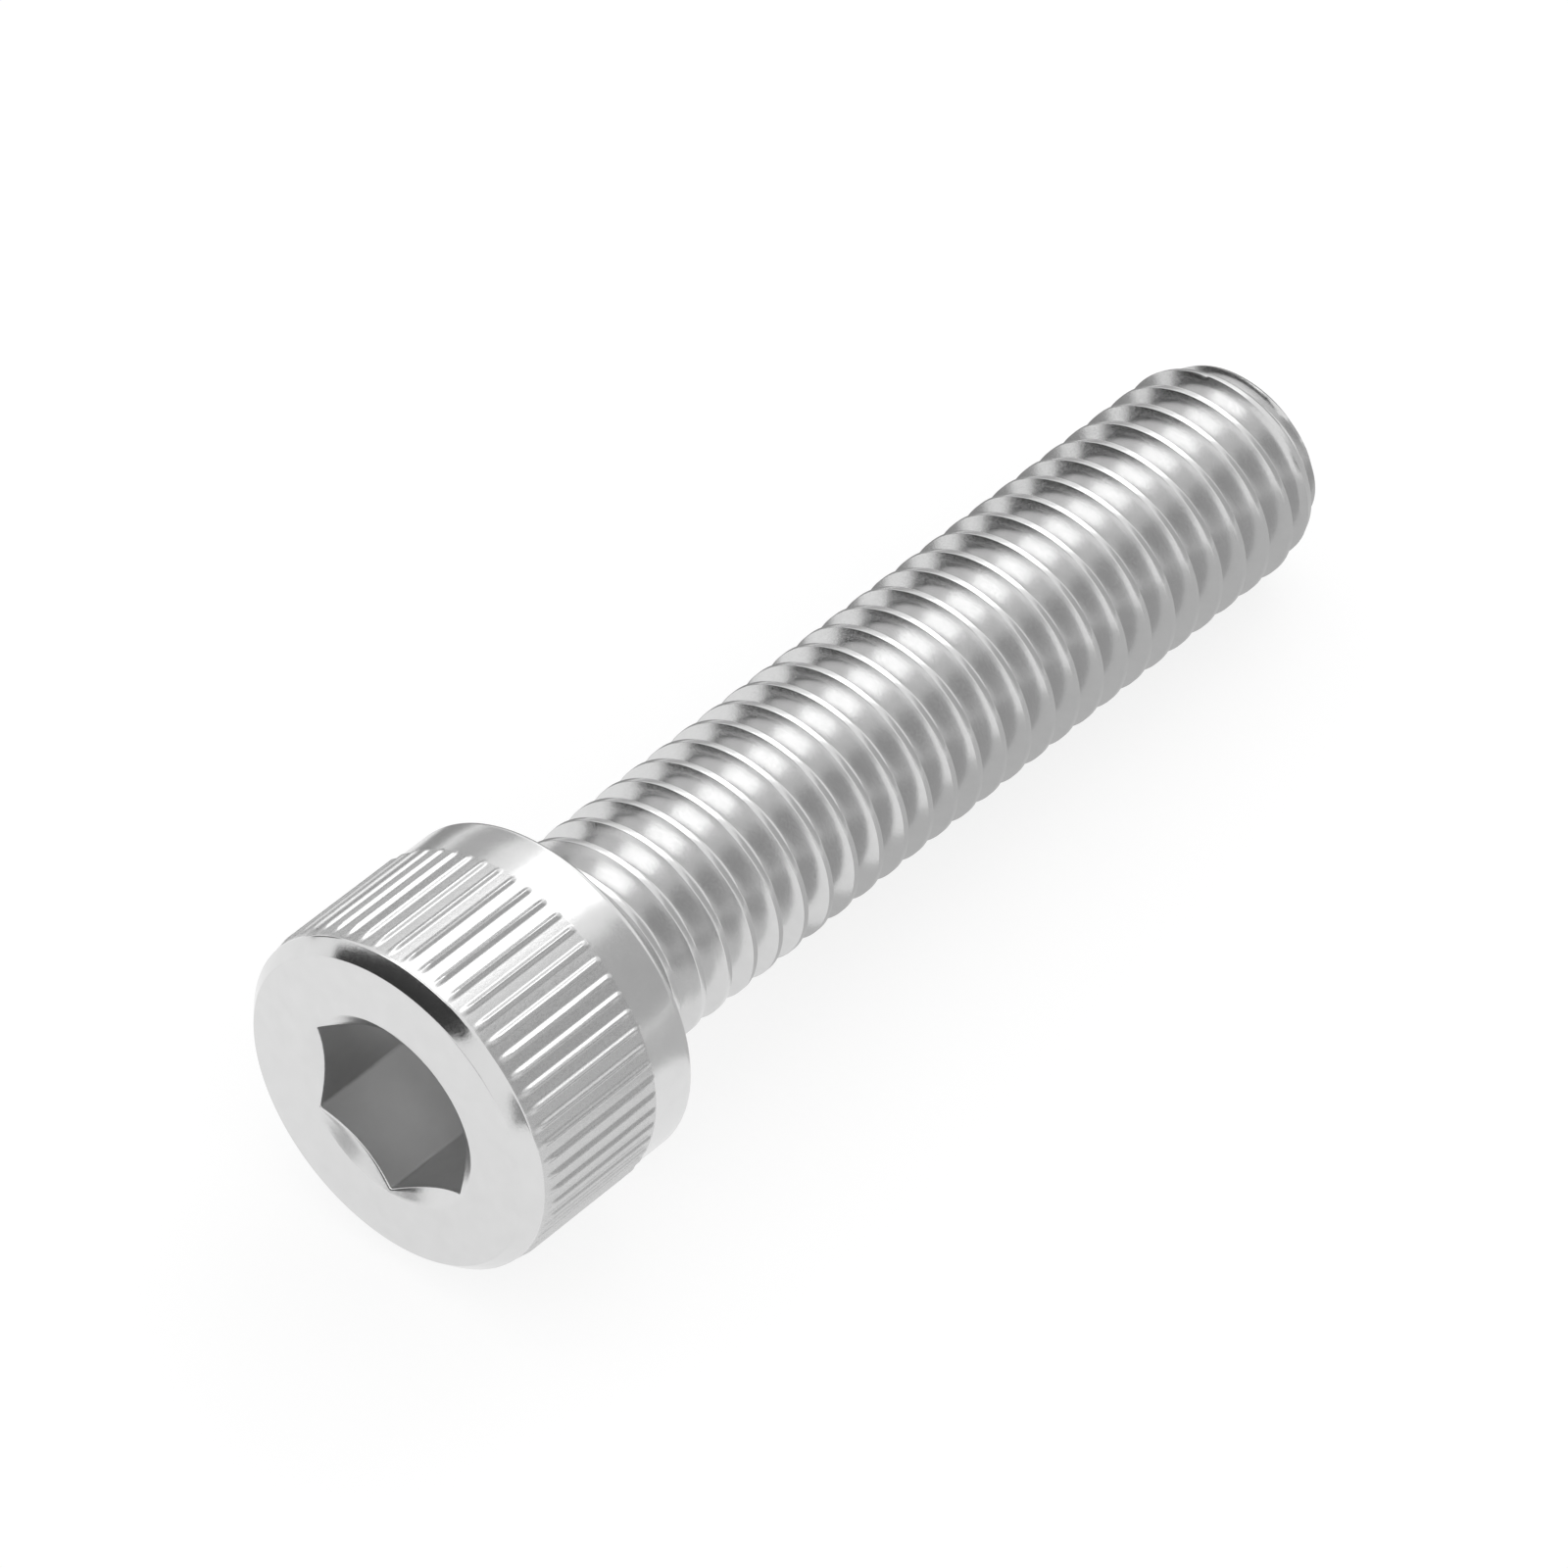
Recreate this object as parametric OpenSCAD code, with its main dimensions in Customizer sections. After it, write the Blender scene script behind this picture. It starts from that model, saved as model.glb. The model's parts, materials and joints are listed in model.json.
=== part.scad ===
// Socket head cap screw, fully threaded, lying on its head rim and its last thread turn

/* [Thread] */
// Diameter over the thread crests
thread_d = 7.82; // [7:0.02:8.4]
// Axial distance from one turn of the thread to the next
pitch = 1.25; // [1.05:0.05:1.5]
// Length under the head, from the bearing face to the tip
length = 35.2; // [20:0.1:40]
// Angle between the two flanks of the thread
flank_angle = 60; // [58:1:62]
// Axial distance from the bearing face to the crest of the first turn, on the floor side
first_crest = 0.88; // [0.4:0.01:1.2]

/* [Tip] */
// Length of the chamfer at the tip
tip_chamfer = 1.4; // [0.6:0.05:1.8]
// Diameter of the flat end of the tip
tip_d = 6.66; // [6:0.02:6.9]

/* [Head] */
// Diameter of the smooth bands of the head
head_d = 12.36; // [11.8:0.02:13.5]
// Height of the head
head_h = 7.7; // [7.3:0.05:8.4]
// Radius of the rounded edge round the end face
face_round = 0.6; // [0.3:0.05:0.9]
// Radius of the rounded edge beside the bearing face
rim_round = 0.3; // [0.1:0.05:0.5]
// Diameter of the short neck in which the thread runs out
neck_d = 7.1; // [6.9:0.05:7.5]
// Length of the neck, from the bearing face
neck_l = 0.9; // [0.5:0.05:1.4]
// Length over which the neck tapers into the thread's root
neck_taper = 0.6; // [0.3:0.05:1]
// Radius of the fillet between the bearing face and the neck
neck_round = 0.4; // [0.2:0.05:0.45]

/* [Knurl] */
// Number of ridges round the head
knurl_count = 61; // [40:1:70]
// Height of a ridge above the smooth bands of the head
knurl_rise = 0.13; // [0.06:0.01:0.2]
// Depth of the valleys below the smooth bands of the head
knurl_sink = 0.08; // [0.04:0.01:0.15]
// Width of a ridge at its foot
ridge_w = 0.36; // [0.2:0.02:0.42]
// Width of a ridge at its top
ridge_top_w = 0.12; // [0.06:0.02:0.18]
// Length of the smooth band between the knurl and the bearing face
rear_band = 1.8; // [1:0.05:2.6]
// Length over which the ridges rise beside the end face
ridge_ramp = 0.4; // [0.1:0.05:0.5]

/* [Socket] */
// Width across the flats of the hexagon
hex_af = 6; // [5:0.05:6.6]
// Depth of the flats below the end face
hex_depth = 4.3; // [4:0.05:4.7]
// Diameter of the countersink at the mouth
mouth_d = 7.2; // [7:0.02:7.6]
// Angle of the countersink, side to side
mouth_angle = 118; // [90:1:130]
// Depth of the cone under the hexagon
cone_depth = 0.4; // [0.2:0.05:0.7]
// Turn of the hexagon about the axis, seen from the end face
hex_turn = 3; // [-30:1:30]

/* [Hidden] */

$fn = 96;
// Steps round one turn of the thread
steps = 38;
// Points in a quarter round of a turned edge
edge_steps = 8;

crest_r = thread_d / 2;
head_r = head_d / 2;
neck_r = neck_d / 2;
ridge_r = head_r + knurl_rise;
valley_r = head_r - knurl_sink;
hex_corner_r = hex_af / 2 / cos(30);

// The basic thread form: a narrow flat crest, straight flanks and a round root
crest_w = pitch / 8;
flank_tan = tan(flank_angle / 2);
vee_depth = (pitch - crest_w) / 2 / flank_tan;
root_round = 0.1443 * pitch;
root_side = root_round * cos(flank_angle / 2);
vee_tip = root_round / sin(flank_angle / 2);
root_depth = vee_depth - vee_tip + root_round;
tangent_depth = vee_depth - vee_tip + root_round * sin(flank_angle / 2);
// Distance along the axis and depth below the crest of each line of the thread
thread_form = [
    [-crest_w / 2, 0],
    [crest_w / 2, 0],
    [pitch / 2 - root_side, tangent_depth],
    [pitch / 2, root_depth],
    [pitch / 2 + root_side, tangent_depth],
];

// The screw lies between two ridges and between two steps of the thread, so neither stands on a point
knurl_turn = 180 / knurl_count;
step_turn = 180 / steps;
ridge_top_angle = ridge_top_w / ridge_r * 90 / PI;
ridge_foot_angle = ridge_w / ridge_r * 90 / PI;
head_touch_r = ridge_r * cos(knurl_turn - ridge_top_angle);
thread_touch_r = crest_r * cos(step_turn);

// The thread starts inside the head and is cut off at the tip
buried_turns = 1;
turns = ceil((length - first_crest) / pitch) + buried_turns + 1;

// The screw touches the floor at the back end of a ridge and at the last full turn
ridge_end = rear_band + knurl_rise;
full_turns = floor((length - tip_chamfer - first_crest) / pitch);
last_crest = first_crest + pitch * (full_turns + step_turn / 360) + crest_w / 2;
lie_angle = atan((head_touch_r - thread_touch_r) / (last_crest + ridge_end));
// Place of the bearing face's centre, for a box centred on the origin and resting on the floor
front_reach = (head_h - face_round) * cos(lie_angle) + (head_r - face_round) * sin(lie_angle) + face_round;
tip_reach = length * cos(lie_angle) + tip_d / 2 * sin(lie_angle);
bearing_x = (front_reach - tip_reach) / 2;
bearing_z = head_touch_r * cos(lie_angle) - ridge_end * sin(lie_angle);

function polar(r, angle, z) = [r * cos(angle), r * sin(angle), z];
function arc(cx, cy, r, from, to) =
    [for (i = [0 : edge_steps]) let (a = from + (to - from) * i / edge_steps) [cx + r * cos(a), cy + r * sin(a)]];

// Helical rod: line follows line along the axis, and each line climbs one pitch per turn
module thread_rod() {
    lines = len(thread_form);
    last = turns * lines;
    start = first_crest - buried_turns * pitch;
    points = [for (i = [0 : last], n = [0 : steps - 1])
        let (form = thread_form[i % lines], turn = (n + 0.5) / steps)
        polar(crest_r - form[1], 360 * turn, start + pitch * (floor(i / lines) + turn) + form[0])];
    function id(i, n) = n < steps ? i * steps + n : (i + lines) * steps;
    low = len(points);
    high = low + 1;
    walls = [for (i = [0 : last - 1], n = [0 : steps - 1]) if (n < steps - 1 || i + lines < last)
        each [[id(i, n), id(i + 1, n), id(i + 1, n + 1)], [id(i, n), id(i + 1, n + 1), id(i, n + 1)]]];
    low_cap = [
        for (n = [0 : steps - 2]) [low, id(0, n), id(0, n + 1)],
        [low, id(0, steps - 1), id(lines, 0)],
        for (i = [0 : lines - 1]) [low, id(i + 1, 0), id(i, 0)],
    ];
    high_cap = [
        for (n = [0 : steps - 2]) [high, id(last, n + 1), id(last, n)],
        [high, id(last, 0), id(last - lines, steps - 1)],
        for (i = [last - lines : last - 1]) [high, id(i, steps - 1), id(i + 1, steps - 1)],
    ];
    polyhedron(concat(points, [[0, 0, start - pitch], [0, 0, start + pitch * (turns + 1)]]),
               concat(walls, low_cap, high_cap));
}

// What the rod loses at the tip: everything outside the chamfer cone and beyond the flat end
module tip_waste() {
    clear = pitch;
    slope = (crest_r - tip_d / 2) / tip_chamfer;
    over = (turns + 2) * pitch;
    rotate_extrude() polygon([
        [crest_r + slope * clear, length - tip_chamfer - clear],
        [tip_d / 2, length],
        [0, length],
        [0, over],
        [2 * crest_r, over],
        [2 * crest_r, length - tip_chamfer - clear],
    ]);
}

module thread() {
    difference() {
        thread_rod();
        tip_waste();
    }
}

// Turned outline of the head, sunk to the knurl's valleys between its two smooth bands
module head_core() {
    front = -head_h;
    rotate_extrude() polygon(concat(
        [[0, front]],
        arc(head_r - face_round, front + face_round, face_round, -90, 0),
        [[valley_r, front + face_round + knurl_sink],
         [valley_r, -rear_band - knurl_sink],
         [head_r, -rear_band]],
        arc(head_r - rim_round, -rim_round, rim_round, 0, 90),
        arc(neck_r + neck_round, neck_round, neck_round, 270, 180),
        [[neck_r, neck_l],
         [crest_r - root_depth, neck_l + neck_taper],
         [0, neck_l + neck_taper]]
    ));
}

// Straight ridges that rise gently beside the end face and end in a small chamfer at the rear band
module knurl() {
    foot_r = valley_r - knurl_sink;
    front = -head_h + face_round;
    intersection() {
        translate([0, 0, front]) linear_extrude(-rear_band - front) polygon([
            for (i = [0 : knurl_count - 1], c = [
                [foot_r, -ridge_foot_angle],
                [ridge_r, -ridge_top_angle],
                [ridge_r, ridge_top_angle],
                [foot_r, ridge_foot_angle],
            ])
            let (a = 360 * i / knurl_count + knurl_turn + c[1]) [c[0] * cos(a), c[0] * sin(a)]
        ]);
        rotate_extrude() polygon([
            [0, front],
            [foot_r, front],
            [ridge_r, front + ridge_ramp],
            [ridge_r, -ridge_end],
            [head_r, -rear_band],
            [0, -rear_band],
        ]);
    }
}

// Hexagon with a countersunk mouth and a shallow cone at the bottom
module socket() {
    mouth_r = mouth_d / 2;
    over = face_round;
    mouth_tan = tan(mouth_angle / 2);
    translate([0, 0, -head_h]) {
        intersection() {
            translate([0, 0, -over])
                rotate([0, 0, -hex_turn])
                cylinder(h = over + hex_depth + 2 * cone_depth, r = hex_corner_r, $fn = 6);
            rotate_extrude() polygon([
                [0, -2 * over],
                [2 * hex_corner_r, -2 * over],
                [2 * hex_corner_r, hex_depth - cone_depth],
                [0, hex_depth + cone_depth],
            ]);
        }
        translate([0, 0, -over])
            cylinder(h = over + mouth_r / mouth_tan, r1 = mouth_r + over * mouth_tan, r2 = 0);
    }
}

module screw() {
    difference() {
        union() {
            head_core();
            knurl();
        }
        socket();
    }
    thread();
}

module cap_screw() {
    color("silver")
        translate([bearing_x, 0, bearing_z])
        rotate([0, 90 + lie_angle, 0])
        screw();
}

cap_screw();
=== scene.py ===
"""Socket head cap screw in stainless steel: its detailed pieces and finishes, the floor, the light and the camera."""
import json
import logging
import math
from dataclasses import dataclass
from enum import Enum

import bmesh
import bpy
from mathutils import Matrix, Vector


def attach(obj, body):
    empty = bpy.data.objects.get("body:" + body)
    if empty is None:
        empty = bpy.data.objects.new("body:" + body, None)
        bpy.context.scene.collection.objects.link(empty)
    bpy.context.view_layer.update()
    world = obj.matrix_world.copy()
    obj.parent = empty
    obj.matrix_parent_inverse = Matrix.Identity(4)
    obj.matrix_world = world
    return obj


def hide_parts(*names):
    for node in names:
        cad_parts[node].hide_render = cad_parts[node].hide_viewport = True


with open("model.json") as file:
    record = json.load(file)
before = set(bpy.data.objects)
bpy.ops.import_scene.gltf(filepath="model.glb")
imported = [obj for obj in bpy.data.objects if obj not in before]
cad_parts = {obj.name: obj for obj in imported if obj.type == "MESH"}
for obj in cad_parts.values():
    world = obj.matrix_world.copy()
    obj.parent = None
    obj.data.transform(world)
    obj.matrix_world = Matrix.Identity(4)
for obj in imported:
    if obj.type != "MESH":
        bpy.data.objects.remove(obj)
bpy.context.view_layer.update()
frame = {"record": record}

LOG = logging.getLogger("cap_screw")
MM = 0.001
NODE = "cap_screw"
# Points of a piece that lie closer than this, in millimetres, become one
MERGE_MM = 1e-4
# Steps in the arc of a small rounded edge
ARC_STEPS = 5
# Half the angle, in degrees, that one side of the hexagon spans
HALF_SIDE = 30


def direction(azimuth: float, elevation: float) -> Vector:
    """Gives the unit vector that points from the screw to a place in the studio.

    Args:
        azimuth: Degrees round the vertical, 0 towards -Y and 90 towards +X.
        elevation: Degrees above the floor.

    Returns:
        The direction.
    """
    turn, rise = math.radians(azimuth), math.radians(elevation)
    return Vector((math.sin(turn) * math.cos(rise), -math.cos(turn) * math.cos(rise), math.sin(rise)))


def linear(hex_colour: str) -> tuple[float, float, float, float]:
    """Turns an sRGB hex colour into the linear colour that a shader takes.

    Args:
        hex_colour: The colour as six hex digits after a hash sign.

    Returns:
        Red, green, blue and an alpha of 1.
    """
    parts = [int(hex_colour[i:i + 2], 16) / 255 for i in (1, 3, 5)]
    red, green, blue = (p / 12.92 if p <= 0.04045 else ((p + 0.055) / 1.055) ** 2.4 for p in parts)
    return red, green, blue, 1.0


def add_node(tree: bpy.types.NodeTree, kind: str, links: dict | None = None, values: dict | None = None,
             **settings: object) -> bpy.types.Node:
    """Adds a shader node with its settings, input values and incoming links.

    Args:
        tree: The node tree that gets the node.
        kind: The node's type name.
        links: Output sockets by the name or number of the input that each feeds.
        values: Numbers and colours by the name or number of the input that takes each.
        **settings: The node's own properties.

    Returns:
        The new node.
    """
    node = tree.nodes.new(kind)
    for name, value in settings.items():
        setattr(node, name, value)
    for key, value in (values or {}).items():
        node.inputs[key].default_value = value
    for key, socket in (links or {}).items():
        tree.links.new(socket, node.inputs[key])
    return node


@dataclass(frozen=True)
class Lie:
    """How the screw lies: the middle of its bearing face, and its axis from the head to the tip."""

    centre: Vector
    axis: Vector

    @classmethod
    def from_record(cls, record: dict) -> "Lie":
        """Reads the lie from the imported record's thread mount.

        Args:
            record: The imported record.

        Returns:
            The lie, in metres.
        """
        thread = next(m for m in record["mounts"] if m["name"] == "thread")
        axis = Vector(thread["axis"]).normalized()
        return cls(Vector(thread["pos_m"]) - axis * thread["dims"]["length_mm"] * MM, axis)

    def turn(self) -> Matrix:
        """Gives the rotation from the screw's own frame, whose z is the axis and whose x is the floor side."""
        across = Vector((0, 1, 0))
        return Matrix((across.cross(self.axis), across, self.axis)).transposed()

    def place(self) -> Matrix:
        """Gives the matrix from the screw's own frame in millimetres to the scene in metres."""
        return Matrix.Translation(self.centre) @ self.turn().to_4x4() @ Matrix.Scale(MM, 4)

    def pattern_mapping(self) -> tuple[tuple, tuple]:
        """Gives the Mapping node's location and rotation that turn scene metres into the screw's millimetres."""
        back = self.turn().transposed()
        return tuple(back @ self.centre / -MM), tuple(back.to_euler())


class Marks(Enum):
    """How a steel surface got its fine marks, each with its pattern's scale across and along the screw's axis."""

    TUMBLED = (1.0, 1.0, 1.0)
    ROLLED = (1.0, 1.0, 3.0)
    PUNCHED = (1.0, 1.0, 0.12)
    KNURLED = (1.0, 1.0, 0.6)


@dataclass(frozen=True)
class SteelFinish:
    """Cold-formed stainless steel, which mirrors the studio softly, with marks from how it was formed.

    Sizes and depths are in millimetres. Marks are its fine pits or lines, and dents are its slow waves.
    """

    name: str
    marks: Marks
    colour: str
    roughness: float
    roughness_spread: float
    mark_size: float
    mark_depth: float
    dent_size: float
    dent_depth: float
    # How dark the colour gets in the dents, and the range in which most of a noise pattern's values lie
    dent_shade: float = 0.93
    mark_range: tuple[float, float] = (0.3, 0.7)

    def build(self, lie: Lie) -> bpy.types.Material:
        """Makes the material.

        Args:
            lie: The screw's lie, which lines the marks up with its axis.

        Returns:
            The material, with all its patterns on Object coordinates in millimetres.
        """
        material = bpy.data.materials.new(self.name)
        material.use_nodes = True
        tree = material.node_tree
        tree.nodes.clear()
        location, rotation = lie.pattern_mapping()
        where = add_node(tree, "ShaderNodeTexCoord")
        local = add_node(tree, "ShaderNodeMapping", {"Vector": where.outputs["Object"]},
                         {"Location": location, "Rotation": rotation, "Scale": (1 / MM,) * 3})
        along = add_node(tree, "ShaderNodeMapping", {"Vector": local.outputs["Vector"]}, {"Scale": self.marks.value})
        fine = add_node(tree, "ShaderNodeTexNoise", {"Vector": along.outputs["Vector"]},
                        {"Scale": 1 / self.mark_size, "Detail": 3.0, "Roughness": 0.6})
        dents = add_node(tree, "ShaderNodeTexNoise", {"Vector": local.outputs["Vector"]},
                         {"Scale": 1 / self.dent_size, "Detail": 2.0, "Roughness": 0.5})
        gloss = add_node(tree, "ShaderNodeMapRange", {"Value": fine.outputs["Fac"]},
                         {"From Min": self.mark_range[0], "From Max": self.mark_range[1],
                          "To Min": self.roughness - self.roughness_spread,
                          "To Max": self.roughness + self.roughness_spread})
        colour = linear(self.colour)
        shaded = (*(part * self.dent_shade for part in colour[:3]), 1.0)
        tint = add_node(tree, "ShaderNodeMix", {"Factor": dents.outputs["Fac"]}, {"A": colour, "B": shaded},
                        data_type="RGBA")
        deep = add_node(tree, "ShaderNodeBump", {"Height": dents.outputs["Fac"]},
                        {"Strength": 1.0, "Distance": self.dent_depth * MM})
        relief = add_node(tree, "ShaderNodeBump", {"Height": fine.outputs["Fac"], "Normal": deep.outputs["Normal"]},
                          {"Strength": 1.0, "Distance": self.mark_depth * MM})
        steel = add_node(tree, "ShaderNodeBsdfPrincipled",
                         {"Base Color": tint.outputs["Result"], "Roughness": gloss.outputs["Result"],
                          "Normal": relief.outputs["Normal"]},
                         {"Metallic": 1.0})
        add_node(tree, "ShaderNodeOutputMaterial", {"Surface": steel.outputs["BSDF"]})
        return material


# Tumbled after forming: fine pits in every direction, softly mirroring
TUMBLED_HEAD = SteelFinish(
    "stainless_steel_tumbled", Marks.TUMBLED, "#dedede", roughness=0.21, roughness_spread=0.04,
    mark_size=0.08, mark_depth=0.0012, dent_size=0.7, dent_depth=0.003)
# Pressed smooth by the die's corner: the glossiest part, so that the studio's dark side is a crisp band in it
PRESSED_CHAMFER = SteelFinish(
    "stainless_steel_pressed", Marks.TUMBLED, "#dcdcdc", roughness=0.14, roughness_spread=0.03,
    mark_size=0.08, mark_depth=0.0010, dent_size=0.7, dent_depth=0.003)
# Pressed by the knurl wheel: duller and more pitted, so that the ridges' crests stand out. Its colour is darker than
# the head's steel: painted shade of the valleys between the ridges.
KNURLED_BAND_WITH_SHADE = SteelFinish(
    "stainless_steel_knurled_with_painted_shade", Marks.KNURLED, "#cecece", roughness=0.30, roughness_spread=0.07,
    mark_size=0.07, mark_depth=0.0030, dent_size=0.5, dent_depth=0.004)
# Rolled between dies: smoother, with faint streaks round the thread
ROLLED_THREAD = SteelFinish(
    "stainless_steel_rolled", Marks.ROLLED, "#dadada", roughness=0.22, roughness_spread=0.05,
    mark_size=0.10, mark_depth=0.0012, dent_size=0.5, dent_depth=0.003)
# Punched by a hexagon tool: drawn lines that run down the walls, and the dullest part. Its colour is lighter than the
# head's steel: painted light that brightens the shaded socket.
PUNCHED_SOCKET_WITH_LIGHT = SteelFinish(
    "stainless_steel_punched_with_painted_light", Marks.PUNCHED, "#e0e0e0", roughness=0.36, roughness_spread=0.06,
    mark_size=0.06, mark_depth=0.0020, dent_size=0.6, dent_depth=0.003)


def finish_piece(name: str, mesh: bmesh.types.BMesh, lie: Lie, materials: list[bpy.types.Material],
                 sharp: float) -> bpy.types.Object:
    """Closes a piece: normals, place, smooth shading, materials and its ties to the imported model.

    Args:
        name: The piece's name.
        mesh: The piece in the screw's own frame, in millimetres.
        lie: The screw's lie.
        materials: The materials that the faces' material numbers name.
        sharp: The angle in degrees past which an edge stays crisp.

    Returns:
        The piece, at the origin and riding on the root body.
    """
    bmesh.ops.remove_doubles(mesh, verts=mesh.verts, dist=MERGE_MM)
    bmesh.ops.recalc_face_normals(mesh, faces=mesh.faces)
    bmesh.ops.transform(mesh, matrix=lie.place(), verts=mesh.verts)
    for face in mesh.faces:
        face.smooth = True
    data = bpy.data.meshes.new(name)
    mesh.to_mesh(data)
    mesh.free()
    data.set_sharp_from_angle(angle=math.radians(sharp))
    for material in materials:
        data.materials.append(material)
    piece = bpy.data.objects.new(name, data)
    bpy.context.scene.collection.objects.link(piece)
    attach(piece, "root")
    low = [min(v.co[i] for v in data.vertices) / MM for i in range(3)]
    high = [max(v.co[i] for v in data.vertices) / MM for i in range(3)]
    loose_edges = len(data.edges) - len({edge for polygon in data.polygons for edge in polygon.edge_keys})
    LOG.info("%s: %d faces, %d loose edges, from %s to %s mm", name, len(data.polygons), loose_edges,
             [round(x, 2) for x in low], [round(x, 2) for x in high])
    return piece


@dataclass
class ThreadedShank:
    """The rolled thread: a true helix with rounded crests and roots, chamfered at the tip. Sizes in millimetres."""

    crest_d: float = 7.82
    pitch: float = 1.25
    length: float = 35.2
    first_crest: float = 0.88
    flank: float = 30.0
    crest_flat: float = 0.22
    crest_round: float = 0.04
    root_round: float = 0.10
    buried: float = 1.2
    tip_chamfer: float = 1.4
    tip_d: float = 6.66
    tip_round: float = 0.25
    # How far inside the chamfer its soft edge starts, and the square of how soft the edge is
    tip_reach: float = 0.15
    tip_softness: float = 0.0006
    steps: int = 96
    flank_steps: int = 4
    sharp_angle: float = 38

    def half_form(self) -> list[tuple[float, float]]:
        """Draws the thread form from the middle of a crest to the middle of the root.

        Returns:
            Distances along the axis, each with its depth below the crest.
        """
        slope, turn = math.tan(math.radians(self.flank)), math.radians(90 - self.flank)
        vee = (self.pitch - self.crest_flat) / 2 / slope
        root_depth = vee - self.root_round / math.sin(math.radians(self.flank)) + self.root_round
        flat = self.crest_flat / 2 - self.crest_round * (math.sin(turn) - (1 - math.cos(turn)) * slope)
        arc = [turn * i / ARC_STEPS for i in range(ARC_STEPS + 1)]
        crest = [(flat + self.crest_round * math.sin(a), self.crest_round * (1 - math.cos(a))) for a in arc]
        root = [(self.pitch / 2 - self.root_round * math.sin(a), root_depth - self.root_round * (1 - math.cos(a)))
                for a in reversed(arc)]
        shares = [i / self.flank_steps for i in range(1, self.flank_steps)]
        flank = [tuple(Vector(crest[-1]).lerp(Vector(root[0]), share)) for share in shares]
        return crest + flank + root

    def reach(self, along: float) -> float:
        """Gives the largest radius that the tip's chamfer and rounded edge leave.

        Args:
            along: Distance from the bearing face.

        Returns:
            The radius.
        """
        crest_r, tip_r = self.crest_d / 2, self.tip_d / 2
        slope = (crest_r - tip_r) / self.tip_chamfer
        limit = crest_r + slope * (self.length - self.tip_chamfer - along)
        into = min(max(along - (self.length - self.tip_round), 0.0), self.tip_round)
        return limit - (self.tip_round - math.sqrt(self.tip_round ** 2 - into ** 2))

    def build(self, lie: Lie) -> bpy.types.Object:
        """Spins the thread's outline into a helix, trims its ends and dresses it.

        Args:
            lie: The screw's lie.

        Returns:
            The piece.
        """
        mesh = bmesh.new()
        half = self.half_form()
        form = half[:-1] + [(self.pitch - x, depth) for x, depth in reversed(half)][:-1]
        # The outline starts inside the head and ends past the tip, and both ends are cut off below
        turns = range(-3, math.ceil((self.length - self.first_crest) / self.pitch) + 2)
        outline = [mesh.verts.new((self.crest_d / 2 - depth, 0, self.first_crest + self.pitch * n + x))
                   for n in turns for x, depth in form]
        edges = [mesh.edges.new(pair) for pair in zip(outline, outline[1:])]
        bmesh.ops.spin(mesh, geom=outline + edges, cent=(0, 0, 0), axis=(0, 0, 1), angle=math.tau,
                       steps=self.steps, dvec=(0, 0, self.pitch / self.steps))
        bmesh.ops.remove_doubles(mesh, verts=mesh.verts, dist=10 * MERGE_MM)
        for vert in mesh.verts:
            radius = math.hypot(vert.co.x, vert.co.y)
            limit = self.reach(vert.co.z)
            if radius > limit - self.tip_reach:
                # A soft minimum, as the chamfer's edge on a rolled thread isn't crisp
                soft = (radius + limit - math.sqrt((radius - limit) ** 2 + self.tip_softness)) / 2
                vert.co.xy *= soft / radius
        for place, normal in ((-self.buried, -1), (self.length, 1)):
            bmesh.ops.bisect_plane(mesh, geom=[*mesh.verts, *mesh.edges, *mesh.faces], dist=MERGE_MM / 10,
                                   plane_co=(0, 0, place), plane_no=(0, 0, normal), clear_outer=True)
            rim = [edge for edge in mesh.edges
                   if edge.is_boundary and all(abs(v.co.z - place) < 10 * MERGE_MM for v in edge.verts)]
            bmesh.ops.holes_fill(mesh, edges=rim, sides=0)
        return finish_piece("cap_screw_thread", mesh, lie, [ROLLED_THREAD.build(lie)], self.sharp_angle)


def smooth_step(share: float) -> float:
    """Eases a share from 0 to 1 without a kink at either end.

    Args:
        share: The share, which may lie below 0 or above 1.

    Returns:
        The eased share, from 0 to 1.
    """
    share = min(max(share, 0.0), 1.0)
    return share * share * (3 - 2 * share)


def rounded(before: tuple[float, float], corner: tuple[float, float], after: tuple[float, float],
            radius: float) -> list[tuple[float, float]]:
    """Rounds one corner of a turned outline.

    Args:
        before: A point of the outline before the corner.
        corner: The corner.
        after: A point of the outline after the corner.
        radius: The radius of the rounding.

    Returns:
        The points of the arc that takes the corner's place.
    """
    tip = Vector(corner)
    back, on = (Vector(before) - tip).normalized(), (Vector(after) - tip).normalized()
    half = back.angle(on) / 2
    inwards = (back + on).normalized()
    across = (on - back).normalized()
    centre = tip + inwards * radius / math.sin(half)
    spread = math.pi / 2 - half
    arc = [spread * (i / ARC_STEPS * 2 - 1) for i in range(ARC_STEPS + 1)]
    return [tuple(centre + (across * math.sin(turn) - inwards * math.cos(turn)) * radius) for turn in arc]


class Region(Enum):
    """The part of the head that a ring of its outline shapes."""

    FLOOR = "floor"
    WALL = "wall"
    MOUTH = "mouth"
    TURNED = "turned"
    CHAMFER = "chamfer"
    KNURL = "knurl"


@dataclass(frozen=True)
class Ring:
    """One ring of the head's outline: a share of the way across its region in the socket, and a place elsewhere."""

    region: Region
    radius: float = 0.0
    along: float = 0.0
    share: float = 0.0


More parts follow.
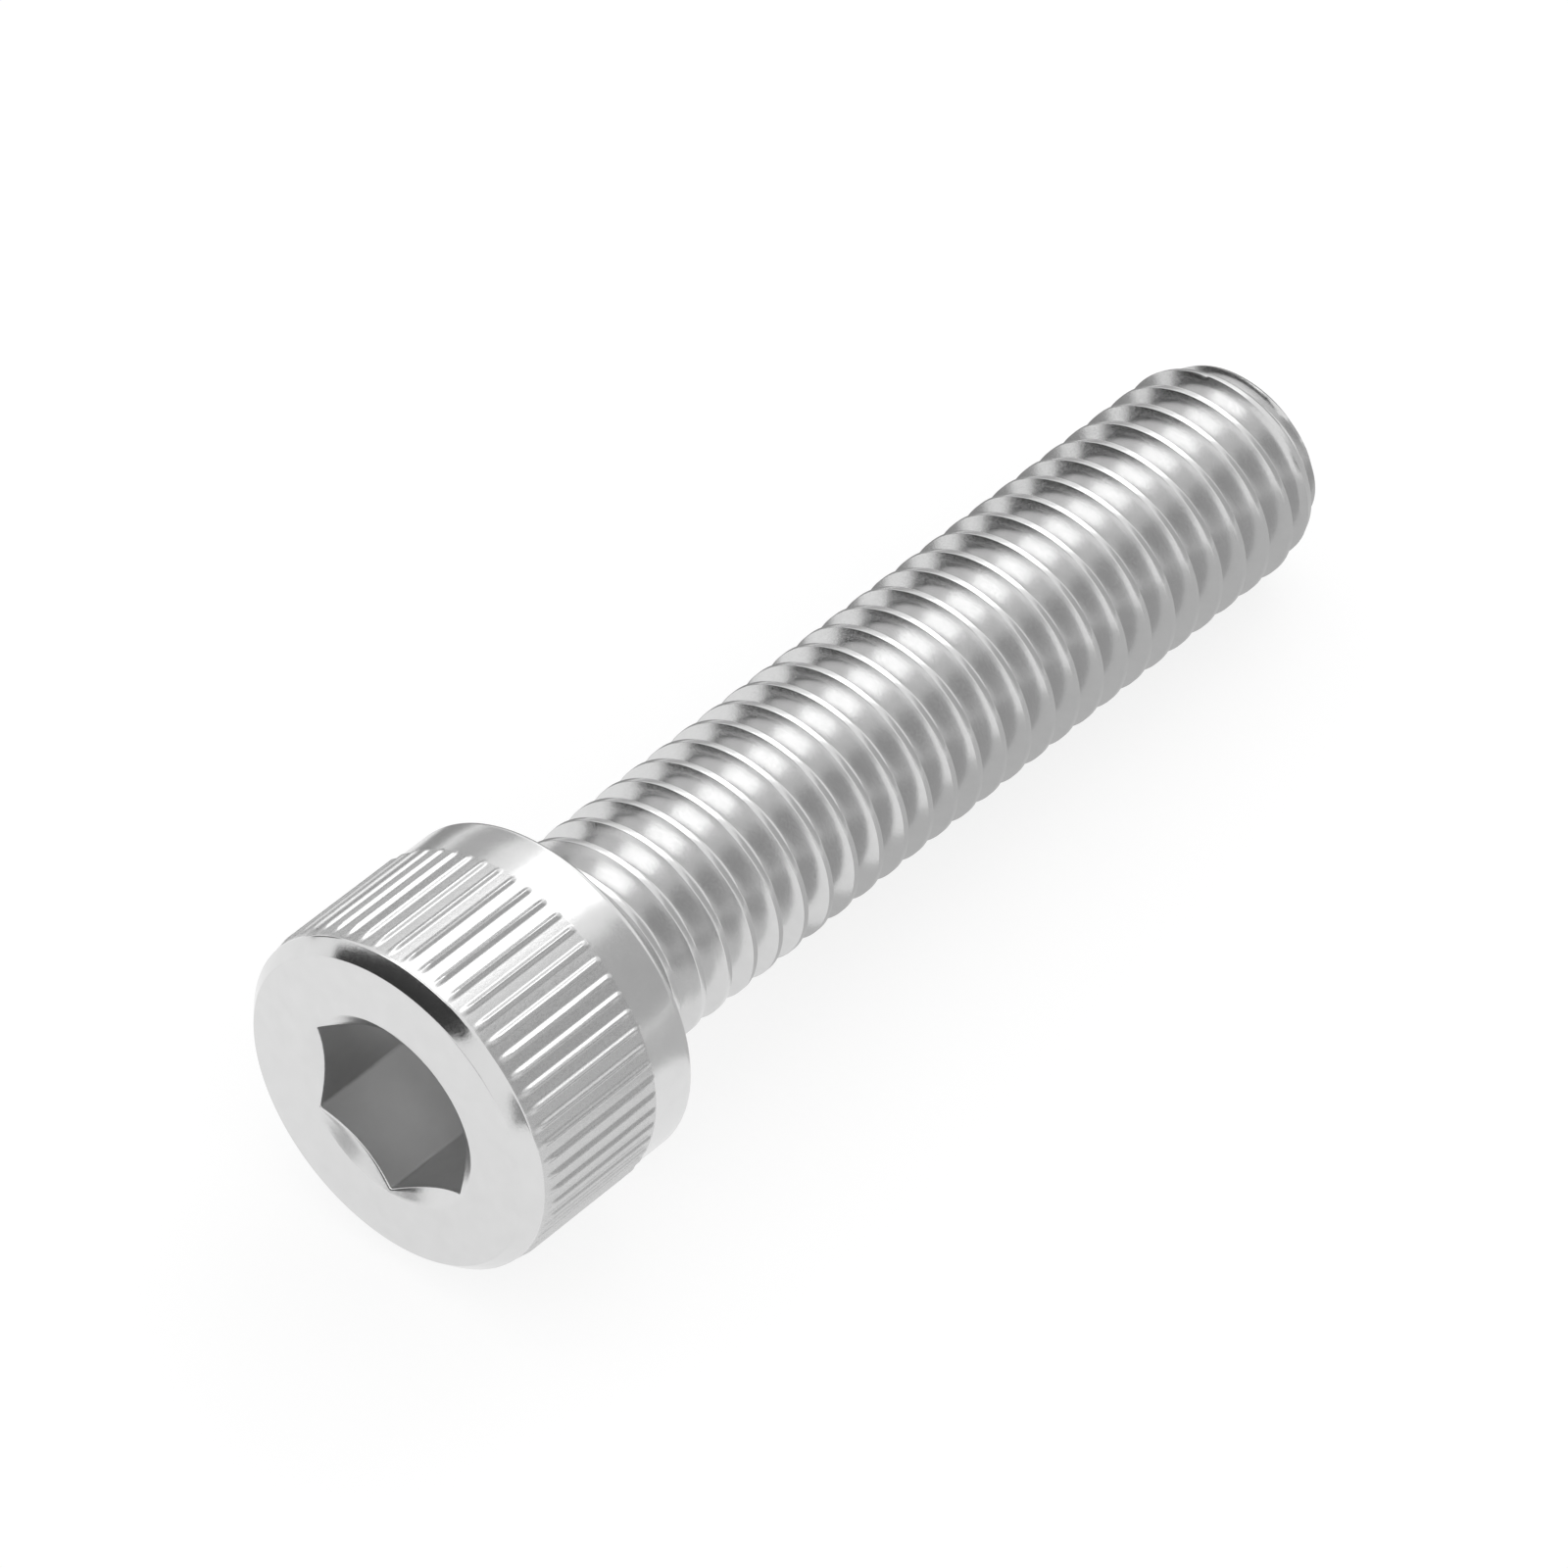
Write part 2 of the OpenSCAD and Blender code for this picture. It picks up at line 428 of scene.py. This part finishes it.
@dataclass
class KnurledHead:
    """The cold-formed head with its knurl, hexagon socket, bearing face and neck. Sizes in millimetres."""

    diameter: float = 12.36
    height: float = 7.7
    chamfer_w: float = 0.45
    chamfer_l: float = 0.5
    chamfer_round: float = 0.12
    rim_round: float = 0.3
    neck_d: float = 7.1
    neck_l: float = 0.9
    neck_taper: float = 0.6
    neck_round: float = 0.4
    thread_root_d: float = 6.2
    ridges: int = 61
    # Columns of the mesh to one ridge, and the column on which its crest stands
    ridge_columns: int = 18
    ridge_phase: int = 9
    ridge_rise: float = 0.095
    ridge_half_w: float = 0.15
    ridge_ramp: float = 0.7
    ridge_end: float = 0.3
    rear_band: float = 1.8
    across_flats: float = 6.0
    socket_depth: float = 4.3
    socket_cone: float = 0.4
    mouth_d: float = 7.2
    mouth_angle: float = 118.0
    # Columns of the mesh by which the hexagon is turned, so that its corners lie on columns
    hexagon_columns: int = 9
    corner_round: float = 0.15
    edge_break: float = 0.05
    edge_segments: int = 3
    sharp_angle: float = 40
    # Shares of the way across each part of the socket at which its rings lie
    floor_shares: tuple[float, ...] = (0.0, 0.35, 0.7, 0.94)
    wall_shares: tuple[float, ...] = (0.0, 0.03, 0.3, 0.6, 0.9, 0.97, 1.0)
    mouth_shares: tuple[float, ...] = (0.35, 0.7, 1.0)
    # Distances of the other rings: outwards from the mouth, back from the chamfer, forwards from the smooth band,
    # and forwards from the bearing face
    face_rings: tuple[float, ...] = (0.12, 0.6, 1.2, 1.75)
    ramp_rings: tuple[float, ...] = (0.07, 0.14, 0.21, 0.28, 0.35, 0.42, 0.5, 0.6, 0.7, 1.8, 3.4)
    end_rings: tuple[float, ...] = (0.3, 0.25, 0.2, 0.15, 0.1, 0.05)
    band_rings: tuple[float, ...] = (1.8, 1.75, 1.0)
    # Radii of the rings in the bearing face, and of one in the neck's buried end
    bearing_rings: tuple[float, ...] = (5.0, 4.3)
    neck_core_r: float = 2.4
    rim_steps: int = 6

    def outline(self) -> list[Ring]:
        """Draws the head's turned outline, from the socket's bottom round to the end of the neck.

        Returns:
            The rings, in order.
        """
        r, front, neck = self.diameter / 2, -self.height, self.neck_d / 2
        start, end = front + self.chamfer_l, self.neck_l + self.neck_taper
        inner, outer = (r - self.chamfer_w, front), (r, start)
        rim = [math.pi / 2 * i / self.rim_steps for i in range(self.rim_steps + 1)]
        fillet = [math.pi / 2 * i / ARC_STEPS for i in range(ARC_STEPS + 1)]
        rings = [Ring(Region.FLOOR, share=q) for q in self.floor_shares]
        rings += [Ring(Region.WALL, share=q) for q in self.wall_shares]
        rings += [Ring(Region.MOUTH, share=q) for q in self.mouth_shares]
        rings += [Ring(Region.TURNED, self.mouth_d / 2 + x, front) for x in self.face_rings]
        rings += [Ring(Region.CHAMFER, *point) for point in rounded((0, front), inner, outer, self.chamfer_round)]
        rings += [Ring(Region.CHAMFER, *point) for point in rounded(inner, outer, (r, 0), self.chamfer_round)]
        rings += [Ring(Region.KNURL, r, start + x) for x in self.ramp_rings]
        rings += [Ring(Region.KNURL, r, -self.rear_band - x) for x in self.end_rings]
        rings += [Ring(Region.TURNED, r, -x) for x in self.band_rings]
        rings += [Ring(Region.TURNED, r - self.rim_round * (1 - math.cos(a)), -self.rim_round * (1 - math.sin(a)))
                  for a in rim]
        rings += [Ring(Region.TURNED, x, 0.0) for x in self.bearing_rings]
        rings += [Ring(Region.TURNED, neck + self.neck_round * (1 - math.sin(a)), self.neck_round * (1 - math.cos(a)))
                  for a in fillet]
        ends = ((neck, self.neck_l), (self.thread_root_d / 2, end), (self.neck_core_r, end), (0.0, end))
        return rings + [Ring(Region.TURNED, radius, along) for radius, along in ends]

    def flat_radius(self, angle: float) -> float:
        """Gives the hexagon's radius in a direction, with its rounded corners on columns of the spun mesh.

        Args:
            angle: Degrees round the axis.

        Returns:
            The distance from the axis to the socket's wall.
        """
        turned = angle + 360 * self.hexagon_columns / (self.ridges * self.ridge_columns)
        aside = math.radians((turned + HALF_SIDE) % (2 * HALF_SIDE) - HALF_SIDE)
        half = math.radians(HALF_SIDE)
        centre = (self.across_flats / 2 - self.corner_round) / math.cos(half)
        reach = math.atan2(self.corner_round * math.sin(half), centre + self.corner_round * math.cos(half))
        if abs(aside) < reach:
            return centre * math.cos(aside) + math.sqrt(self.corner_round ** 2 - (centre * math.sin(aside)) ** 2)
        return self.across_flats / 2 / math.cos(math.radians(turned % (2 * HALF_SIDE) - HALF_SIDE))

    def ridge_radius(self, angle: float, along: float) -> float:
        """Gives the knurl's radius at a point.

        Args:
            angle: Degrees round the axis.
            along: Place along the axis, from the bearing face.

        Returns:
            The radius.
        """
        pitch = 360 / self.ridges
        turns = angle / pitch - self.ridge_phase / self.ridge_columns
        aside = abs(turns - round(turns)) * math.pi * self.diameter / self.ridges
        share = 1 - smooth_step(aside / self.ridge_half_w)
        start = -self.height + self.chamfer_l
        rise = smooth_step((along - start) / self.ridge_ramp)
        fall = smooth_step((-self.rear_band - along) / self.ridge_end)
        return self.diameter / 2 + self.ridge_rise * share * min(rise, fall)

    def settle(self, vert: bmesh.types.BMVert, ring: Ring) -> None:
        """Moves a spun point to where the socket or the knurl has it.

        Args:
            vert: The point, still where it was spun.
            ring: The point's ring.
        """
        angle = math.degrees(math.atan2(vert.co.y, vert.co.x)) % 360
        flat, mouth = self.flat_radius(angle), self.mouth_d / 2
        mouth_slope = math.tan(math.radians(self.mouth_angle / 2))
        floor_slope = self.socket_cone / (self.across_flats / 2 / math.cos(math.radians(HALF_SIDE)))
        radius, depth = math.hypot(vert.co.x, vert.co.y), vert.co.z + self.height
        if ring.region is Region.FLOOR:
            radius = flat * ring.share
            depth = self.socket_depth + self.socket_cone - radius * floor_slope
        elif ring.region is Region.WALL:
            bottom = self.socket_depth + self.socket_cone - flat * floor_slope
            top = (mouth - flat) / mouth_slope
            radius, depth = flat, bottom + (top - bottom) * ring.share
        elif ring.region is Region.MOUTH:
            radius = flat + (mouth - flat) * ring.share
            depth = (mouth - radius) / mouth_slope
        elif ring.region is Region.KNURL:
            radius = self.ridge_radius(angle, vert.co.z)
        vert.co = (radius * math.cos(math.radians(angle)), radius * math.sin(math.radians(angle)),
                   depth - self.height)

    def spin(self, rings: list[Ring]) -> tuple[bmesh.types.BMesh, bmesh.types.BMLayerItem]:
        """Spins the outline and settles its points.

        Args:
            rings: The outline.

        Returns:
            The mesh, and the layer that gives each point's ring by its number.
        """
        mesh = bmesh.new()
        ring_of = mesh.verts.layers.int.new("ring")
        outline = []
        for number, ring in enumerate(rings):
            radius, along = ring.radius, ring.along
            if ring.region in (Region.FLOOR, Region.WALL, Region.MOUTH):
                # A socket's ring is spun anywhere clear of the others, and only the floor's middle is on the axis
                radius, along = (self.mouth_d / 2 if number else 0.0), -number
            vert = mesh.verts.new((radius, 0, along))
            vert[ring_of] = number
            outline.append(vert)
        edges = [mesh.edges.new(pair) for pair in zip(outline, outline[1:])]
        bmesh.ops.spin(mesh, geom=outline + edges, cent=(0, 0, 0), axis=(0, 0, 1), angle=math.tau,
                       steps=self.ridges * self.ridge_columns, use_merge=True)
        for vert in mesh.verts:
            self.settle(vert, rings[vert[ring_of]])
        bmesh.ops.remove_doubles(mesh, verts=mesh.verts, dist=MERGE_MM)
        return mesh, ring_of

    def build(self, lie: Lie) -> bpy.types.Object:
        """Spins the head, gives each region its finish, breaks the edges of the socket's mouth and dresses the head.

        Args:
            lie: The screw's lie.

        Returns:
            The piece.
        """
        rings = self.outline()
        mesh, ring_of = self.spin(rings)
        finishes = ((TUMBLED_HEAD, set(Region)), (PUNCHED_SOCKET_WITH_LIGHT, {Region.FLOOR, Region.WALL}),
                    (KNURLED_BAND_WITH_SHADE, {Region.KNURL}), (PRESSED_CHAMFER, {Region.CHAMFER}))
        for face in mesh.faces:
            regions = {rings[vert[ring_of]].region for vert in face.verts}
            face.material_index = max(n for n, (_, dressed) in enumerate(finishes) if regions <= dressed)
        crisp = {max(n for n, ring in enumerate(rings) if ring.region is region)
                 for region in (Region.WALL, Region.MOUTH)}
        corners = [edge for edge in mesh.edges
                   if edge.verts[0][ring_of] == edge.verts[1][ring_of] and edge.verts[0][ring_of] in crisp]
        bmesh.ops.bevel(mesh, geom=corners, offset=self.edge_break, offset_type="OFFSET", affect="EDGES",
                        segments=self.edge_segments, profile=0.5, material=-1, clamp_overlap=True)
        materials = [finish.build(lie) for finish, _ in finishes]
        return finish_piece("cap_screw_head", mesh, lie, materials, self.sharp_angle)


def build_card(name: str, place: Matrix, level: float) -> bpy.types.Object:
    """Makes a card that only mirror rays see.

    Args:
        name: The card's name.
        place: Turns a unit square into the card.
        level: How bright the card is, with the white surround at 1.

    Returns:
        The card.
    """
    mesh = bmesh.new()
    bmesh.ops.create_grid(mesh, x_segments=1, y_segments=1, size=0.5)
    bmesh.ops.transform(mesh, matrix=place, verts=mesh.verts)
    data = bpy.data.meshes.new(name)
    mesh.to_mesh(data)
    mesh.free()
    material = bpy.data.materials.new(name)
    material.use_nodes = True
    material.node_tree.nodes.clear()
    glow = add_node(material.node_tree, "ShaderNodeEmission", values={"Strength": level})
    add_node(material.node_tree, "ShaderNodeOutputMaterial", {"Surface": glow.outputs["Emission"]})
    data.materials.append(material)
    card = bpy.data.objects.new(name, data)
    bpy.context.scene.collection.objects.link(card)
    card.visible_camera = card.visible_diffuse = card.visible_shadow = False
    return card


@dataclass(frozen=True)
class StudioPanel:
    """A flat panel of the studio that the steel mirrors: a softbox that shines, or a bright, grey or dark card.

    Sizes are in metres and angles in degrees. A level of 1 is as bright as the white surround.
    """

    name: str
    azimuth: float
    elevation: float
    distance: float
    width: float
    height: float
    level: float
    shines: bool = False
    roll: float = 0.0

    def place(self) -> Matrix:
        """Gives the panel's place, facing the screw."""
        towards = direction(self.azimuth, self.elevation)
        turned = towards.to_track_quat("Z", "Y").to_matrix().to_4x4()
        return Matrix.Translation(towards * self.distance) @ turned @ Matrix.Rotation(math.radians(self.roll), 4, "Z")

    def build(self) -> bpy.types.Object:
        """Makes the panel as an area lamp, or as a card that only mirror rays see.

        Returns:
            The lamp or the card.
        """
        scene = bpy.context.scene
        if self.shines:
            lamp = bpy.data.lights.new(self.name, "AREA")
            lamp.shape, lamp.size, lamp.size_y = "RECTANGLE", self.width, self.height
            lamp.energy = self.level * math.pi * self.width * self.height
            panel = bpy.data.objects.new(self.name, lamp)
            panel.matrix_world = self.place()
            scene.collection.objects.link(panel)
            return panel
        return build_card(self.name, self.place() @ Matrix.Diagonal((self.width, self.height, 1, 1)), self.level)


@dataclass(frozen=True)
class FloorShadowCard:
    """A grey card that lies on the floor by the screw and that only mirror rays see: painted shadow of the floor
    beside the screw, as the steel mirrors it. Sizes in metres.
    """

    name: str
    x_from: float
    x_to: float
    y_from: float
    y_to: float
    level: float
    lift: float = 0.0002

    def build(self) -> bpy.types.Object:
        """Makes the card just above the floor.

        Returns:
            The card.
        """
        middle = Matrix.Translation(((self.x_from + self.x_to) / 2, (self.y_from + self.y_to) / 2, self.lift))
        size = Matrix.Diagonal((self.x_to - self.x_from, self.y_to - self.y_from, 1, 1))
        return build_card(self.name, middle @ size, self.level)


@dataclass
class Studio:
    """A pale floor that keeps the screw's shadow, an even pale surround, softboxes and cards."""

    floor_size: float = 6.0
    # The surround's strength as a light, and the floor's own colour where it throws light back
    surround: float = 0.8
    paper: str = "#f4f4f4"
    # The floor as it is seen: the part of it that takes the shadow, and the white that is added to that
    floor_share: float = 0.3
    floor_glow: float = 0.77
    panels: tuple[StudioPanel, ...] = (
        # The lamp, and the bright cards that whiten its mirror image in the thread's grooves and along the flanks
        StudioPanel("key_softbox", azimuth=106, elevation=47, distance=0.9, width=0.57, height=0.24, level=1.35,
                    shines=True, roll=-15),
        StudioPanel("high_card", azimuth=124, elevation=60.5, distance=0.9, width=0.64, height=0.22, level=3.0,
                    roll=-21.5),
        StudioPanel("low_card", azimuth=114, elevation=16, distance=0.8, width=0.31, height=0.40, level=1.5),
        StudioPanel("top_card", azimuth=-128.6, elevation=58.5, distance=0.69, width=0.19, height=0.557, level=2.0,
                    roll=-61),
        # The dark side of the studio, which is the dark band in the chamfer of the end face
        StudioPanel("dark_card", azimuth=-117.7, elevation=34.4, distance=0.709, width=0.41, height=1.10, level=0.04,
                    roll=-50.6),
        # Greys that keep the screw's sides and the thread's flanks apart from the white surround
        StudioPanel("front_grey_card", azimuth=40, elevation=20, distance=0.6, width=0.42, height=0.62, level=0.50),
        StudioPanel("camera_card", azimuth=-32, elevation=2, distance=0.6, width=0.30, height=0.28, level=0.32),
        StudioPanel("head_grey_card", azimuth=-84, elevation=2, distance=0.6, width=0.26, height=0.22, level=0.5),
        StudioPanel("far_grey_card", azimuth=147, elevation=12, distance=0.6, width=0.24, height=0.26, level=0.50),
        StudioPanel("far_dark_card", azimuth=181, elevation=6, distance=0.6, width=0.26, height=0.30, level=0.20),
    )
    # Painted shadow of the floor beside the screw, seen only in the steel's mirror image. Both stay clear of the
    # floor before the head, which the end face mirrors
    floor_shadow_cards: tuple[FloorShadowCard, ...] = (
        FloorShadowCard("front_floor_shadow_card", x_from=-0.006, x_to=0.12, y_from=-0.12, y_to=0.0, level=0.60),
        FloorShadowCard("rear_floor_shadow_card", x_from=-0.004, x_to=0.06, y_from=0.001, y_to=0.06, level=0.33),
    )

    def light_paths(self, tree: bpy.types.NodeTree) -> bpy.types.NodeSocket:
        """Adds a socket that is 1 for rays from the camera and for mirrored and refracted rays.

        Args:
            tree: The node tree.

        Returns:
            The socket.
        """
        path = add_node(tree, "ShaderNodeLightPath")
        seen = add_node(tree, "ShaderNodeMath", {0: path.outputs["Is Camera Ray"], 1: path.outputs["Is Glossy Ray"]},
                        operation="MAXIMUM")
        return add_node(tree, "ShaderNodeMath", {0: seen.outputs[0], 1: path.outputs["Is Transmission Ray"]},
                        operation="MAXIMUM").outputs[0]

    def build_world(self) -> None:
        """Makes the surround, white where it is seen or mirrored, and softer where it lights."""
        world = bpy.data.worlds.new("studio_surround")
        bpy.context.scene.world = world
        world.use_nodes = True
        tree = world.node_tree
        tree.nodes.clear()
        lights = add_node(tree, "ShaderNodeBackground", values={"Color": (1, 1, 1, 1), "Strength": self.surround})
        white = add_node(tree, "ShaderNodeBackground", values={"Color": (1, 1, 1, 1), "Strength": 1.0})
        both = add_node(tree, "ShaderNodeMixShader", {0: self.light_paths(tree), 1: lights.outputs[0],
                                                      2: white.outputs[0]})
        add_node(tree, "ShaderNodeOutputWorld", {"Surface": both.outputs[0]})

    def build_floor(self) -> bpy.types.Object:
        """Makes the floor: white paper that keeps a soft shadow.

        Returns:
            The floor.
        """
        mesh = bmesh.new()
        bmesh.ops.create_grid(mesh, x_segments=1, y_segments=1, size=self.floor_size / 2)
        data = bpy.data.meshes.new("paper_floor")
        mesh.to_mesh(data)
        mesh.free()
        material = bpy.data.materials.new("white_paper")
        material.use_nodes = True
        tree = material.node_tree
        tree.nodes.clear()
        paper = add_node(tree, "ShaderNodeBsdfDiffuse", values={"Color": linear(self.paper)})
        shade = add_node(tree, "ShaderNodeBsdfDiffuse", values={"Color": (self.floor_share,) * 3 + (1,)})
        glow = add_node(tree, "ShaderNodeEmission", values={"Color": (1, 1, 1, 1), "Strength": self.floor_glow})
        seen = add_node(tree, "ShaderNodeAddShader", {0: shade.outputs[0], 1: glow.outputs[0]})
        both = add_node(tree, "ShaderNodeMixShader", {0: self.light_paths(tree), 1: paper.outputs[0],
                                                      2: seen.outputs[0]})
        add_node(tree, "ShaderNodeOutputMaterial", {"Surface": both.outputs[0]})
        data.materials.append(material)
        floor = bpy.data.objects.new("paper_floor", data)
        bpy.context.scene.collection.objects.link(floor)
        return floor

    def build(self) -> None:
        """Sets up the surround, the floor, the lamps and the cards."""
        self.build_world()
        self.build_floor()
        for panel in (*self.panels, *self.floor_shadow_cards):
            panel.build()
            LOG.info("studio panel %s: level %.2f", panel.name, panel.level)


@dataclass
class PhotoCamera:
    """The camera at the photograph's viewing angle. Lengths in millimetres, from the middle of the bearing face."""

    azimuth: float = -49.09
    elevation: float = 46.97
    distance: float = 320.08
    right: float = 7.502
    up: float = 6.454
    lens: float = 229.96
    sensor: float = 36
    clip: tuple[float, float] = (10, 20000)

    def build(self, lie: Lie) -> bpy.types.Object:
        """Places the camera and makes it the scene's.

        Args:
            lie: The screw's lie.

        Returns:
            The camera.
        """
        back = direction(self.azimuth, self.elevation)
        side = Vector((math.cos(math.radians(self.azimuth)), math.sin(math.radians(self.azimuth)), 0))
        top = back.cross(side)
        camera = bpy.data.objects.new("photo_camera", bpy.data.cameras.new("photo_camera"))
        camera.data.lens, camera.data.sensor_width, camera.data.sensor_fit = self.lens, self.sensor, "HORIZONTAL"
        camera.data.clip_start, camera.data.clip_end = (distance * MM for distance in self.clip)
        offset = back * self.distance + side * self.right + top * self.up
        turned = Matrix((side, top, back)).transposed().to_4x4()
        camera.matrix_world = Matrix.Translation(lie.centre + offset * MM) @ turned
        bpy.context.scene.collection.objects.link(camera)
        bpy.context.scene.camera = camera
        return camera


def main() -> None:
    """Builds the camera, the screw's pieces and the studio in order, and notes the sizes."""
    logging.basicConfig(level=logging.INFO, format="%(name)s: %(message)s")
    bpy.context.scene.view_settings.view_transform = "Standard"
    lie = Lie.from_record(frame["record"])
    PhotoCamera().build(lie)
    head = KnurledHead().build(lie)
    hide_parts(NODE)
    ThreadedShank().build(lie)
    Studio().build()


if __name__ == "__main__":
    main()
